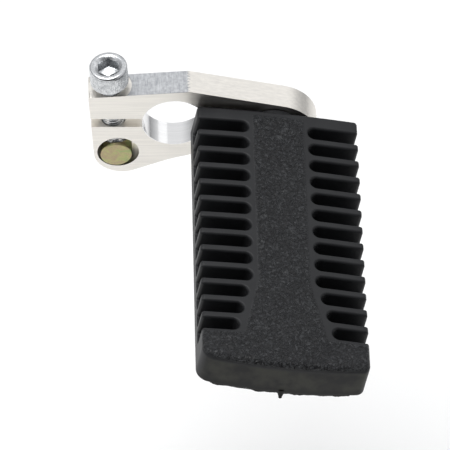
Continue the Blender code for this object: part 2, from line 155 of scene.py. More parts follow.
class Graph:
    """A node tree that is filled through one method for nodes and one for sums."""

    def __init__(self, tree: bpy.types.NodeTree) -> None:
        """Hold the tree to fill."""
        self.tree = tree

    def node(self, kind: str, settings: dict[str, Any] | None = None,
             sockets: dict[str | int, Any] | None = None) -> bpy.types.Node:
        """Add a node.

        Args:
            kind: The node's type.
            settings: Its properties, set first; "stops" are a ramp's (place, colour) pairs.
            sockets: Values or fields for its inputs, by name or number.

        Returns:
            The new node.
        """
        node = self.tree.nodes.new(kind)
        for name, value in (settings or {}).items():
            if name == "stops":
                self._set_stops(node.color_ramp, value)
            else:
                setattr(node, name, value)
        for key, value in (sockets or {}).items():
            self.feed(node.inputs[key], value)
        return node

    @staticmethod
    def _set_stops(ramp: bpy.types.ColorRamp, stops: Sequence[tuple[float, Colour]]) -> None:
        """Give a ramp its stops."""
        while len(ramp.elements) > 1:
            ramp.elements.remove(ramp.elements[-1])
        for index, (place, colour) in enumerate(stops):
            element = ramp.elements[0] if index == 0 else ramp.elements.new(place)
            element.position = place
            element.color = (*colour, 1.0)

    def feed(self, socket: bpy.types.NodeSocket, value: Any) -> None:
        """Link a field to a socket, or set a plain value on it."""
        if isinstance(value, Field):
            self.tree.links.new(value.socket, socket)
        elif socket.type == "RGBA" and len(value) == 3:
            socket.default_value = (*value, 1.0)
        else:
            socket.default_value = value

    def math(self, operation: str, *values: Any, clamp: bool = False) -> Field:
        """Add a Math node and return its value."""
        settings = {"operation": operation, "use_clamp": clamp}
        node = self.node("ShaderNodeMath", settings, dict(enumerate(values)))
        return Field(self, node.outputs[0])

    def vector(self, operation: str, *values: Any) -> Field:
        """Add a Vector Math node and return its vector."""
        node = self.node("ShaderNodeVectorMath", {"operation": operation}, dict(enumerate(values)))
        return Field(self, node.outputs[0])

    def split(self, vector: Field) -> tuple[Field, Field, Field]:
        """Return the three parts of a vector."""
        node = self.node("ShaderNodeSeparateXYZ", sockets={0: vector})
        return Field(self, node.outputs[0]), Field(self, node.outputs[1]), Field(self, node.outputs[2])

    def combine(self, x: Any, y: Any, z: Any) -> Field:
        """Return a vector made of three numbers."""
        return Field(self, self.node("ShaderNodeCombineXYZ", sockets={0: x, 1: y, 2: z}).outputs[0])


class Surface(Graph):
    """A material under construction, whose patterns lie in the piece's Object coordinates."""

    def __init__(self, name: str, metallic: float) -> None:
        """Start a material with a Principled shader.

        Args:
            name: The finish's name.
            metallic: 1 for bare or plated metal, 0 for rubber.
        """
        self.material = bpy.data.materials.new(name)
        self.material.use_nodes = True
        super().__init__(self.material.node_tree)
        self.tree.nodes.clear()
        self.shader = self.node("ShaderNodeBsdfPrincipled", sockets={"Metallic": metallic})
        output = self.node("ShaderNodeOutputMaterial")
        self.tree.links.new(self.shader.outputs[0], output.inputs["Surface"])
        self.place = Field(self, self.node("ShaderNodeTexCoord").outputs["Object"])

    def turned(self, pitch: float) -> Field:
        """Return the place in a frame that is pitched about Y."""
        settings = {"vector_type": "POINT"}
        sockets = {"Vector": self.place, "Rotation": (0.0, pitch, 0.0)}
        return Field(self, self.node("ShaderNodeMapping", settings, sockets).outputs[0])

    def noise(self, place: Field, scale: Sequence[float], detail: float = 3.0,
              roughness: float = 0.55, distortion: float = 0.0) -> Field:
        """Return a noise value.

        Args:
            place: Where it is read.
            scale: Waves for each metre along X, Y and Z.
            detail: Octaves.
            roughness: Weight of the finer octaves.
            distortion: How far the pattern is stirred.

        Returns:
            A value round 0.5.
        """
        stretched = self.vector("MULTIPLY", place, tuple(scale))
        sockets = {"Vector": stretched, "Scale": 1.0, "Detail": detail, "Roughness": roughness,
                   "Distortion": distortion}
        return Field(self, self.node("ShaderNodeTexNoise", sockets=sockets).outputs[0])

    def cells(self, place: Field, scale: float, smooth: float) -> Field:
        """Return the smoothed distance to the nearest of scattered points."""
        settings = {"feature": "SMOOTH_F1", "distance": "EUCLIDEAN"}
        sockets = {"Vector": place, "Scale": scale, "Smoothness": smooth}
        return Field(self, self.node("ShaderNodeTexVoronoi", settings, sockets).outputs[0])

    def blend(self, share: Any, first: Any, second: Any) -> Field:
        """Return a colour that goes from first to second with share."""
        settings = {"data_type": "RGBA", "clamp_factor": True}
        node = self.node("ShaderNodeMix", settings, {0: share, 6: first, 7: second})
        return Field(self, node.outputs[2])

    def colours(self, value: Field, stops: Sequence[tuple[float, Colour]]) -> Field:
        """Return the colour that a ramp gives to a value."""
        return Field(self, self.node("ShaderNodeValToRGB", {"stops": stops}, {0: value}).outputs[0])

    def relief(self, height: Field, distance: float, strength: float = 1.0,
               below: Field | None = None) -> Field:
        """Return a bumped normal.

        Args:
            height: The relief, from 0 to 1.
            distance: Its depth in metres.
            strength: How much of it shows.
            below: A normal to add it to.

        Returns:
            The normal.
        """
        sockets: dict[str | int, Any] = {"Height": height, "Distance": distance, "Strength": strength}
        if below:
            sockets["Normal"] = below
        return Field(self, self.node("ShaderNodeBump", sockets=sockets).outputs[0])

    def dress(self, **sockets: Any) -> bpy.types.Material:
        """Feed the shader, with underscores for the spaces in its sockets' names.

        Returns:
            The finished material.
        """
        for name, value in sockets.items():
            self.feed(self.shader.inputs[name.replace("_", " ")], value)
        return self.material


class ShapeTree(Graph):
    """A Geometry Nodes tree with named inputs, run once to make a plain mesh."""

    def __init__(self, name: str, sizes: dict[str, float | int]) -> None:
        """Start a tree.

        Args:
            name: The tree's name.
            sizes: Its named inputs and the values that they get.
        """
        super().__init__(bpy.data.node_groups.new(name, "GeometryNodeTree"))
        self.values: dict[str, float | int] = {}
        self.tree.interface.new_socket("Geometry", in_out="INPUT", socket_type="NodeSocketGeometry")
        for label, value in sizes.items():
            kind = "NodeSocketInt" if isinstance(value, int) else "NodeSocketFloat"
            socket = self.tree.interface.new_socket(label, in_out="INPUT", socket_type=kind)
            self.values[socket.identifier] = value
        self.tree.interface.new_socket("Geometry", in_out="OUTPUT", socket_type="NodeSocketGeometry")
        self.source = self.node("NodeGroupInput")

    def size(self, label: str) -> Field:
        """Return a named input."""
        return Field(self, self.source.outputs[label])

    def shape(self, kind: str, settings: dict[str, Any] | None = None,
              sockets: dict[str | int, Any] | None = None) -> Field:
        """Add a node and return its first output."""
        return Field(self, self.node(kind, settings, sockets).outputs[0])

    def run(self, shape: Field, material: bpy.types.Material | None = None,
            start: bpy.types.Mesh | None = None) -> bpy.types.Mesh:
        """Close the tree and return what it makes.

        Args:
            shape: The geometry at the tree's end.
            material: What it is made of.
            start: The mesh that the tree's geometry input gets, if any.

        Returns:
            A plain mesh.
        """
        shape = self.shape("GeometryNodeRealizeInstances", sockets={0: shape})
        shape = self.shape("GeometryNodeSetMaterial", sockets={"Geometry": shape, "Material": material})
        self.node("NodeGroupOutput", sockets={0: shape})
        holder = bpy.data.objects.new(self.tree.name, start or bpy.data.meshes.new(self.tree.name))
        bpy.context.scene.collection.objects.link(holder)
        modifier = holder.modifiers.new("shape", "NODES")
        modifier.node_group = self.tree
        for identifier, value in self.values.items():
            modifier[identifier] = value
        settle(holder)
        mesh = holder.data
        bpy.data.objects.remove(holder)
        return mesh


# ---------------------------------------------------------------- mesh helpers


def settle(item: bpy.types.Object) -> None:
    """Turn an object's modifiers into plain mesh and take them off."""
    bpy.context.view_layer.update()
    graph = bpy.context.evaluated_depsgraph_get()
    mesh = bpy.data.meshes.new_from_object(item.evaluated_get(graph), depsgraph=graph)
    item.modifiers.clear()
    item.data = mesh


def as_object(name: str, source: bmesh.types.BMesh | bpy.types.Mesh) -> bpy.types.Object:
    """Return a linked object made of a bmesh, which is freed, or of a mesh."""
    if isinstance(source, bmesh.types.BMesh):
        mesh = bpy.data.meshes.new(name)
        source.to_mesh(mesh)
        source.free()
    else:
        mesh = source
    item = bpy.data.objects.new(name, mesh)
    bpy.context.scene.collection.objects.link(item)
    return item


def carve(item: bpy.types.Object, tool: bpy.types.Object, operation: str = "DIFFERENCE",
          solver: str = "EXACT") -> None:
    """Combine two closed objects by a Boolean and throw the second away.

    Args:
        item: The object that stays.
        tool: The object that is used up.
        operation: The Boolean's operation.
        solver: The Boolean's solver.
    """
    boolean = item.modifiers.new("carve", "BOOLEAN")
    boolean.operation = operation
    boolean.solver = solver
    boolean.object = tool
    settle(item)
    bpy.data.objects.remove(tool)


def soften(item: bpy.types.Object, width: float, steps: int, angle: float = 32.0) -> None:
    """Round an object's sharp edges.

    Args:
        item: The object.
        width: How far the rounding reaches from the edge.
        steps: Its segments.
        angle: The smallest angle that counts as an edge, in degrees.
    """
    bevel = item.modifiers.new("soften", "BEVEL")
    bevel.limit_method = "ANGLE"
    bevel.angle_limit = math.radians(angle)
    bevel.width = width
    bevel.segments = steps
    bevel.harden_normals = False
    settle(item)


def shade(item: bpy.types.Object, angle: float = 38.0) -> None:
    """Shade an object smooth except across edges sharper than an angle in degrees."""
    item.data.shade_smooth()
    item.data.set_sharp_from_angle(angle=math.radians(angle))
    weighted = item.modifiers.new("weigh", "WEIGHTED_NORMAL")
    weighted.keep_sharp = True
    settle(item)


def loft(rings: Sequence[Sequence[Vector]]) -> bmesh.types.BMesh:
    """Return a closed bmesh through equal rings of points.

    Args:
        rings: The rings, each running the same way round.

    Returns:
        The bmesh, its faces pointing out.
    """
    bm = bmesh.new()
    loops = [[bm.verts.new(point) for point in ring] for ring in rings]
    count = len(loops[0])
    for low, high in zip(loops, loops[1:]):
        for index in range(count):
            following = (index + 1) % count
            bm.faces.new((low[index], low[following], high[following], high[index]))
    bm.faces.new(loops[0])
    bm.faces.new(loops[-1])
    bmesh.ops.recalc_face_normals(bm, faces=bm.faces)
    return bm


def turned(profile: Sequence[tuple[float, float]], sides: int) -> bmesh.types.BMesh:
    """Return a closed bmesh turned about Z from (radius, height) points."""
    return loft([[Vector((radius * math.cos(math.tau * side / sides),
                          radius * math.sin(math.tau * side / sides), height))
                  for side in range(sides)] for radius, height in profile])


def prism(outline: Sequence[Vector], low: float, high: float) -> bmesh.types.BMesh:
    """Return a closed bmesh of an XY outline pulled along Z."""
    return loft([[Vector((point.x, point.y, height)) for point in outline] for height in (low, high)])


def block(low: Sequence[float], high: Sequence[float]) -> bmesh.types.BMesh:
    """Return a box between two corners, as a tool for cutting."""
    corners = [Vector((low[0], low[1])), Vector((high[0], low[1])),
               Vector((high[0], high[1])), Vector((low[0], high[1]))]
    return prism(corners, low[2], high[2])


def arc(centre: tuple[float, float], radius: float, start: float, end: float,
        steps: int) -> list[tuple[float, float]]:
    """Return points of an arc, its angles in degrees."""
    return [(centre[0] + radius * math.cos(math.radians(start + (end - start) * step / steps)),
             centre[1] + radius * math.sin(math.radians(start + (end - start) * step / steps)))
            for step in range(steps + 1)]


def hexagon(across: float) -> list[Vector]:
    """Return a hexagon of a width across its flats, with a corner towards +Y."""
    radius = across / 2 / math.cos(math.pi / 6)
    return [Vector((radius * math.sin(-math.tau * side / 6), radius * math.cos(math.tau * side / 6)))
            for side in range(6)]


def rounded(corners: Sequence[tuple[Vector, float]], step: float = 2.5) -> list[Vector]:
    """Return a polygon with rounded corners.

    Args:
        corners: Anticlockwise (point, radius) pairs; a radius of 0 keeps the corner.
        step: The arc between two points, in degrees.

    Returns:
        The outline's points.
    """
    points = []
    for index, (corner, radius) in enumerate(corners):
        if radius == 0:
            points.append(corner)
            continue
        before = (corners[index - 1][0] - corner).normalized()
        after = (corners[(index + 1) % len(corners)][0] - corner).normalized()
        half = before.angle(after) / 2
        centre = corner + (before + after).normalized() * (radius / math.sin(half))
        start = corner + before * (radius / math.tan(half)) - centre
        sweep = start.angle_signed(corner + after * (radius / math.tan(half)) - centre)
        steps = max(2, math.ceil(abs(math.degrees(sweep)) / step))
        points += [centre + Matrix.Rotation(-sweep * part / steps, 2) @ start
                   for part in range(steps + 1)]
    return points


def inset(points: Sequence[Vector], distance: float) -> list[Vector]:
    """Return a closed anticlockwise outline moved inwards."""
    moved = []
    for index, point in enumerate(points):
        before = (point - points[index - 1]).normalized()
        after = (points[(index + 1) % len(points)] - point).normalized()
        inward = Vector((-before.y - after.y, before.x + after.x)).normalized()
        stretch = max(0.5, inward.dot(Vector((-after.y, after.x))))
        moved.append(point + inward * (distance / stretch))
    return moved


def cap_holes(mesh: bpy.types.Mesh) -> bmesh.types.BMesh:
    """Return a mesh with its open ends filled and its faces pointing out."""
    bm = bmesh.new()
    bm.from_mesh(mesh)
    bmesh.ops.remove_doubles(bm, verts=bm.verts, dist=0.001 * MM)
    bmesh.ops.holes_fill(bm, edges=[edge for edge in bm.edges if edge.is_boundary], sides=0)
    bmesh.ops.recalc_face_normals(bm, faces=bm.faces)
    return bm


def outward(mesh: bpy.types.Mesh) -> bmesh.types.BMesh:
    """Return a copy of a mesh with its faces pointing out."""
    bm = bmesh.new()
    bm.from_mesh(mesh)
    bmesh.ops.recalc_face_normals(bm, faces=bm.faces)
    return bm


def joined(name: str, items: Sequence[bpy.types.Object]) -> bpy.types.Object:
    """Return one object made of several, whose own objects are thrown away."""
    bm = bmesh.new()
    for item in items:
        bm.from_mesh(item.data)
    for item in items:
        bpy.data.objects.remove(item)
    return as_object(name, bm)


@dataclass(frozen=True)
class Piece:
    """What a finished object is called, what it rides on and which CAD nodes it stands for."""

    name: str
    body: Body
    slot: Slot
    stands_for: tuple[str, ...] = ()

    def place(self, item: bpy.types.Object, material: bpy.types.Material,
              where: Matrix | None = None) -> bpy.types.Object:
        """Dress an object, put its place into its mesh and hang it on its body.

        Args:
            item: The object, in its own frame.
            material: What it is made of.
            where: From its own frame to the assembly's.

        Returns:
            The finished piece.
        """
        if where:
            item.data.transform(where)
        item.name = self.name
        item.data.name = self.name
        item.data.materials.clear()
        item.data.materials.append(material)
        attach(item, self.body.value)
        if self.stands_for:
            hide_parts(*self.stands_for)
        LOG.info("%s: %d faces on %s", self.name, len(item.data.polygons), self.body.value)
        return item


# ---------------------------------------------------------------- finishes


@dataclass(frozen=True)
class MilledAluminium:
    """Satin aluminium with fine milling streaks, a grey brushed screw face and a reamed bore."""

    pitch: float
    bore_radius: float
    bend: tuple[float, float]
    climb: float
    screw_x: float
    cream: Colour = (0.87, 0.84, 0.785)
    shadow: Colour = (0.74, 0.715, 0.67)
    brushed: Colour = (0.29, 0.30, 0.315)
    bright: Colour = (0.93, 0.93, 0.93)

    def make(self) -> bpy.types.Material:
        """Return the material."""
        skin = Surface("milled_aluminium", metallic=1.0)
        place = skin.turned(self.pitch)
        x, y, z = skin.split(place)
        streak = skin.noise(place, (45, 1100, 1500), detail=4, roughness=0.6)
        cloud = skin.noise(place, (90, 90, 90), detail=2)
        body = skin.blend(streak.ramp(0.35, 0.7), self.shadow, self.cream)
        body = skin.blend(cloud.ramp(0.3, 0.8) * 0.35, body, self.cream)

        over = (z - self.bend[1]) * math.cos(self.climb) - (x - self.bend[0]) * math.sin(self.climb)
        ragged = skin.noise(place, (500, 2400, 500), detail=3)
        left = (x + (ragged - 0.5) * (5 * MM)).ramp(self.bend[0] + 0.3 * MM, self.bend[0] - 0.3 * MM)
        past_screw = x.ramp(self.screw_x - 2.0 * MM, self.screw_x + 1.0 * MM)
        on_face = abs(over).ramp(0.28 * MM, 0.12 * MM) * left * past_screw
        scratch = skin.noise(place, (2300, 260, 2300), detail=4, roughness=0.7)
        mottle = skin.noise(place, (900, 900, 900), detail=3)
        face = skin.blend((scratch * 0.6 + mottle * 0.4).ramp(0.36, 0.66), self.brushed, (0.53, 0.54, 0.555))
        colour = skin.blend(on_face, body, face)

        radius = skin.math("SQRT", x * x + z * z)
        in_bore = radius.ramp(self.bore_radius + 0.3 * MM, self.bore_radius + 0.12 * MM)
        ring = skin.noise(place, (60, 1500, 60), detail=3)
        colour = skin.blend(in_bore, colour, skin.blend(ring, (0.80, 0.80, 0.80), self.bright))

        rough = 0.34 + (streak - 0.5) * 0.25 + on_face * 0.12 - in_bore * 0.2
        height = streak * (1 - on_face) + scratch * on_face
        normal = skin.relief(height, 0.03 * MM, 0.35)
        return skin.dress(Base_Color=colour, Roughness=rough.clamped(), Normal=normal)


@dataclass(frozen=True)
class BrightZinc:
    """Bright zinc plate, slightly mottled and hazed."""

    name: str = "bright_zinc"
    pale: Colour = (0.74, 0.75, 0.76)
    dull: Colour = (0.44, 0.455, 0.47)
    roughness: float = 0.17

    def make(self) -> bpy.types.Material:
        """Return the material."""
        skin = Surface(self.name, metallic=1.0)
        mottle = skin.noise(skin.place, (700, 700, 700), detail=4, roughness=0.6)
        speck = skin.noise(skin.place, (2600, 2600, 2600), detail=2)
        tone = (mottle * 0.7 + speck * 0.3).ramp(0.36, 0.62)
        colour = skin.blend(tone, self.dull, self.pale)
        rough = self.roughness + (1 - tone) * 0.16
        normal = skin.relief(speck, 0.02 * MM, 0.4)
        return skin.dress(Base_Color=colour, Roughness=rough, Normal=normal)


@dataclass(frozen=True)
class YellowZinc:
    """Yellow passivated zinc, whose tint wanders from straw to green and pink."""

    straw: Colour = (0.45, 0.43, 0.21)
    green: Colour = (0.33, 0.40, 0.18)
    rose: Colour = (0.43, 0.34, 0.22)

    def make(self) -> bpy.types.Material:
        """Return the material."""
        skin = Surface("yellow_zinc", metallic=1.0)
        drift = skin.noise(skin.place, (210, 210, 210), detail=3, distortion=0.8)
        stops = ((0.30, self.green), (0.43, self.straw), (0.52, self.rose), (0.60, self.straw),
                 (0.70, self.green))
        colour = skin.colours(drift, stops)
        grime = skin.noise(skin.place, (1500, 1500, 1500), detail=4)
        colour = skin.blend(grime.ramp(0.45, 0.75) * 0.45, colour, (0.30, 0.28, 0.18))
        rough = 0.30 + grime * 0.2
        return skin.dress(Base_Color=colour, Roughness=rough,
                          Normal=skin.relief(grime, 0.02 * MM, 0.5))


@dataclass(frozen=True)
class BareSteel:
    """Bare rolled and turned steel with a thin, cloudy scale."""

    light: Colour = (0.50, 0.49, 0.48)
    dark: Colour = (0.24, 0.235, 0.23)

    def make(self) -> bpy.types.Material:
        """Return the material."""
        skin = Surface("bare_steel", metallic=1.0)
        scale = skin.noise(skin.place, (260, 260, 260), detail=5, roughness=0.65)
        tool = skin.noise(skin.place, (80, 2000, 80), detail=2)
        colour = skin.blend(scale.ramp(0.35, 0.65), self.dark, self.light)
        rough = 0.34 + scale * 0.25
        return skin.dress(Base_Color=colour, Roughness=rough,
                          Normal=skin.relief(scale * 0.6 + tool * 0.4, 0.03 * MM, 0.5))


@dataclass(frozen=True)
class MouldedRubber:
    """Black moulded rubber, smooth but for a leathery band that widens to the whole free end."""

    middle: float
    plain_from: float
    grained_half: float
    front_from: float
    widen_from: float
    widening: float
    end: float
    top: float
    bottom: float
    black: Colour = (0.0125, 0.013, 0.0145)
    worn: Colour = (0.017, 0.0178, 0.0195)
    polished: Colour = (0.041, 0.043, 0.046)
    # Painted shade for the hollows of the leathery grain.
    painted_pit_shade: Colour = (0.003, 0.003, 0.0032)
    dusty: Colour = (0.032, 0.032, 0.025)
    # Near-black for the free end's wall, in random patches and towards its bottom.
    wall_dark: Colour = (0.003, 0.003, 0.003)

    def make(self) -> bpy.types.Material:
        """Return the material."""
        skin = Surface("moulded_rubber", metallic=0.0)
        x, y, z = skin.split(skin.place)
        spread = (self.widen_from - y).most(0.0) * self.widening
        off_middle = abs(x - self.middle) - spread
        inner = off_middle.ramp(self.grained_half + 0.5 * MM, self.grained_half - 0.5 * MM)
        ahead = y.ramp(self.front_from + 0.5 * MM, self.front_from - 0.5 * MM)
        rear = y.ramp(self.plain_from, self.plain_from - 1.0 * MM)
        high = z.ramp(self.top - 1.0 * MM, self.top - 0.6 * MM)
        grained = inner.most(ahead) * rear * high
        wander = skin.noise(skin.place, (500, 500, 500), detail=2)
        stirred = skin.vector("ADD", skin.place, skin.combine(wander * (0.5 * MM), 0.0, 0.0))
        worm = skin.noise(stirred, (640, 640, 640), detail=1.0, distortion=1.2)
        pebble = skin.cells(stirred, 800, 0.5)
        leather = (1 - abs(worm - 0.5) * 8).clamped() * 0.65 + (1 - pebble).clamped() * 0.35
        fine = skin.noise(skin.place, (3500, 3500, 3500), detail=2)
        cloud = skin.noise(skin.place, (120, 120, 120), detail=3)
        wall = y.ramp(self.end + 1.5 * MM, self.end + 0.2 * MM)
        wall = wall * z.ramp(self.top - 1.4 * MM, self.top - 2.6 * MM)
        low = z.ramp(self.bottom + 4.0 * MM, self.bottom + 1.5 * MM)
        colour = skin.blend(cloud.ramp(0.35, 0.7), self.black, self.worn)
        colour = skin.blend(grained * (leather - 0.35).clamped() * 1.5, colour, self.polished)
        # Painted shade: the grain's pits are darkened as if shade fell in them.
        colour = skin.blend(grained * (0.35 - leather).clamped() * 2.5, colour, self.painted_pit_shade)
        colour = skin.blend(wall, colour, skin.blend(cloud.ramp(0.38, 0.6), self.wall_dark, self.dusty))
        # The free end's wall gets darker towards its bottom.
        colour = skin.blend(wall * low * 0.8, colour, self.wall_dark)
        rough = 0.5 + (cloud - 0.5) * 0.2 - grained * 0.06
        base = skin.relief(fine * 0.5 + cloud * 0.5, 0.03 * MM, 0.4)
        normal = skin.relief(leather * grained, 0.5 * MM, 1.0, below=base)
        return skin.dress(Base_Color=colour, Roughness=rough.clamped(), Normal=normal,
                          Specular_IOR_Level=0.27)


# ---------------------------------------------------------------- the clamp


@dataclass
class LeverPlate:
    """The milled plate that clamps the bar, in its own frame: X along the slot, Z across it."""

    pitch: float = math.radians(9.0)
    thickness: float = 9.7 * MM
    edge: float = 0.32 * MM
    bore_radius: float = 11.0 * MM
    slot_width: float = 4.2 * MM
    climb: float = math.radians(4.8)
    fall: float = math.radians(13.4)
    bend: Vector = field(default_factory=lambda: Vector((4.7, 16.0)) * MM)
    jaw_end: float = -28.75 * MM
    jaw_foot: Vector = field(default_factory=lambda: Vector((7.2, -14.8)) * MM)
    jaw_rise: float = math.radians(25.0)
    arm_end: float = 49.4 * MM
    nut_hole: Vector = field(default_factory=lambda: Vector((-19.1, -15.1)) * MM)
    nut_hole_radius: float = 7.2 * MM
    nut_at: Vector = field(default_factory=lambda: Vector((-19.75, -16.3)) * MM)
    screw_hole_radius: float = 4.5 * MM
    seat_radius: float = 7.5 * MM
    seat_depth: float = 0.28 * MM
    stem: Vector = field(default_factory=lambda: Vector((33.85, 2.6)) * MM)
    stem_hole_radius: float = 4.4 * MM
    countersink_radius: float = 8.9 * MM
    sides: int = 144

    @property
    def frame(self) -> Matrix:
        """The plate's frame in the assembly."""
        return Matrix.Rotation(-self.pitch, 4, "Y")

    @property
    def seat_height(self) -> float:
        """How far the screw's seat lies above the nut's axis."""
        upwards = Vector((-math.sin(self.climb), math.cos(self.climb)))
        return upwards.dot(self.bend - self.nut_at) - self.seat_depth

    def on_screw(self, height: float) -> Matrix:
        """Return the frame at a height above the nut whose Z is the screw's axis."""
        upwards = Matrix.Rotation(-self.climb, 4, "Y")
        start = Matrix.Translation((self.nut_at.x, 0, self.nut_at.y))
        return self.frame @ start @ upwards @ Matrix.Translation((0, 0, height))

    def outline(self) -> list[Vector]:
        """Return the plate's outline in X and Z, anticlockwise."""
        climb = math.tan(self.climb)
        rise = math.tan(self.jaw_rise)
        top = (self.bend.y + climb * (self.jaw_end - self.bend.x)) / (1 + climb * climb)
        foot = (self.jaw_foot.y + (self.jaw_end - self.jaw_foot.x) * rise) / (1 + climb * rise)
        arm_top = self.bend.y - math.tan(self.fall) * (self.arm_end - self.bend.x)
        return rounded([
            (Vector((self.jaw_end - climb * top, top)), 1.0 * MM),
            (Vector((self.jaw_end - climb * foot, foot)), 9.9 * MM),
            (self.jaw_foot, 58.0 * MM),
            (Vector((self.arm_end, self.jaw_foot.y)), 7.0 * MM),
            (Vector((self.arm_end, arm_top)), 15.5 * MM),
            (self.bend, 2.0 * MM),
        ])

    def _drill(self, item: bpy.types.Object, at: Vector, profile: Sequence[tuple[float, float]]) -> None:
        """Cut a turned hole, square to the plate, with heights that grow towards the back."""
        tool = as_object("drill", turned(profile, self.sides))
        tool.data.transform(Matrix.Translation((at.x, 0, at.y)) @ TO_BACK)
        carve(item, tool)

    def build(self, finish: bpy.types.Material) -> bpy.types.Object:
        """Return the finished plate."""
        half = self.thickness / 2
        reach = half + 1.0 * MM
        item = as_object("plate", prism(self.outline(), -half, half))
        item.data.transform(TO_FRONT)
        self._drill(item, Vector((0, 0)), [(self.bore_radius, -reach), (self.bore_radius, reach)])
        self._drill(item, self.nut_hole, [(self.nut_hole_radius, -reach), (self.nut_hole_radius, reach)])
        cone = half - (self.countersink_radius - self.stem_hole_radius)
        wide = self.countersink_radius + reach - half
        stem = Matrix.Rotation(-self.pitch, 2) @ self.stem
        self._drill(item, stem, [(self.stem_hole_radius, -reach), (self.stem_hole_radius, cone),
                                 (wide, reach)])
        slot = block((2 * self.jaw_end, -reach, -self.slot_width / 2),
                     (-self.bore_radius / 2, reach, self.slot_width / 2))
        carve(item, as_object("slot", slot))
        seat = self.seat_height
        tool = as_object("spot_face", turned([
            (self.screw_hole_radius, 0), (self.screw_hole_radius, seat),
            (self.seat_radius, seat), (self.seat_radius, seat + 2 * MM)], self.sides))
        tool.data.transform(self.frame.inverted() @ self.on_screw(0.0))
        carve(item, tool)
        soften(item, self.edge, 3)
        shade(item)
        piece = Piece("lever_plate", Body.BRACKET, Slot.PLATE, ("clamp_bracket",))
        return piece.place(item, finish, self.frame)


@dataclass
class CrossNut:
    """The round cross nut that lies in the lower jaw, tapped for the clamp screw."""

    radius: float = 5.5 * MM
    length: float = 10.2 * MM
    proud: float = 0.35 * MM
    edge: float = 0.5 * MM
    thread_radius: float = 4.3 * MM
    sides: int = 96

    def build(self, plate: LeverPlate, finish: bpy.types.Material) -> bpy.types.Object:
        """Return the finished nut.

        Args:
            plate: The plate that it lies in.
            finish: What it is made of.
        """
        front = plate.thickness / 2 + self.proud
        back = front - self.length
        edge = self.edge
        profile = [*arc((self.radius - edge, back + edge), edge, -90, 0, 4),
                   *arc((self.radius - edge, front - edge), edge, 0, 90, 4)]
        item = as_object("nut", turned(profile, self.sides))
        item.data.transform(TO_FRONT)
        thread = as_object("tapped_hole", turned([(self.thread_radius, -2 * self.radius),
                                                  (self.thread_radius, 2 * self.radius)], 48))
        thread.data.transform(Matrix.Rotation(-plate.climb, 4, "Y"))
        carve(item, thread)
        shade(item, 30.0)
        where = plate.frame @ Matrix.Translation((plate.nut_at.x, 0, plate.nut_at.y))
        piece = Piece("cross_nut", Body.BRACKET, Slot.NUT, ("barrel_nut",))
        return piece.place(item, finish, where)


@dataclass
class Thread:
    """A cut screw thread with a chamfered tip, along Z."""

    radius: float = 4.0 * MM
    depth: float = 0.62 * MM
    pitch: float = 1.25 * MM
    tip: float = 1.2 * MM
    sides: int = 40
    samples: int = 6

    def build(self, low: float, high: float) -> bpy.types.Object:
        """Return a closed threaded rod between two heights."""
        turns = math.ceil((high - low) / self.pitch) + 2
        tree = ShapeTree("screw_thread", {
            "Crest": self.radius, "Depth": self.depth, "Pitch": self.pitch, "Tip": self.tip,
            "Low": low, "High": high, "Turns": turns, "Sides": self.sides, "Samples": self.samples})
        around = tree.size("Sides") + 1
        along = tree.size("Turns") * tree.size("Samples") + 1
        grid = tree.shape("GeometryNodeMeshGrid", sockets={
            "Size X": 1.0, "Size Y": 1.0, "Vertices X": around, "Vertices Y": along})
        u, v, _ = tree.split(tree.shape("GeometryNodeInputPosition"))
        angle = (u + 0.5) * math.tau
        count = (v + 0.5) * tree.size("Turns")
        height = tree.size("Low") + (count + u - 1.5) * tree.size("Pitch")
        height = height.most(tree.size("Low")).least(tree.size("High"))
        wave = (1 - abs(count.fraction() * 2 - 1)) * 1.35
        radius = tree.size("Crest") - (1 - wave.clamped()) * tree.size("Depth")
        root = tree.size("Crest") - tree.size("Depth")
        radius = radius.least(tree.size("Crest") - tree.size("Tip") + height - tree.size("Low"))
        radius = radius.least(root + (tree.size("High") - height))
        place = tree.combine(radius * tree.math("COSINE", angle), radius * tree.math("SINE", angle), height)
        shape = tree.shape("GeometryNodeSetPosition", sockets={"Geometry": grid, "Position": place})
        shape = tree.shape("GeometryNodeMergeByDistance", sockets={
            "Geometry": shape, "Distance": WELD})
        return as_object("thread", cap_holes(tree.run(shape)))


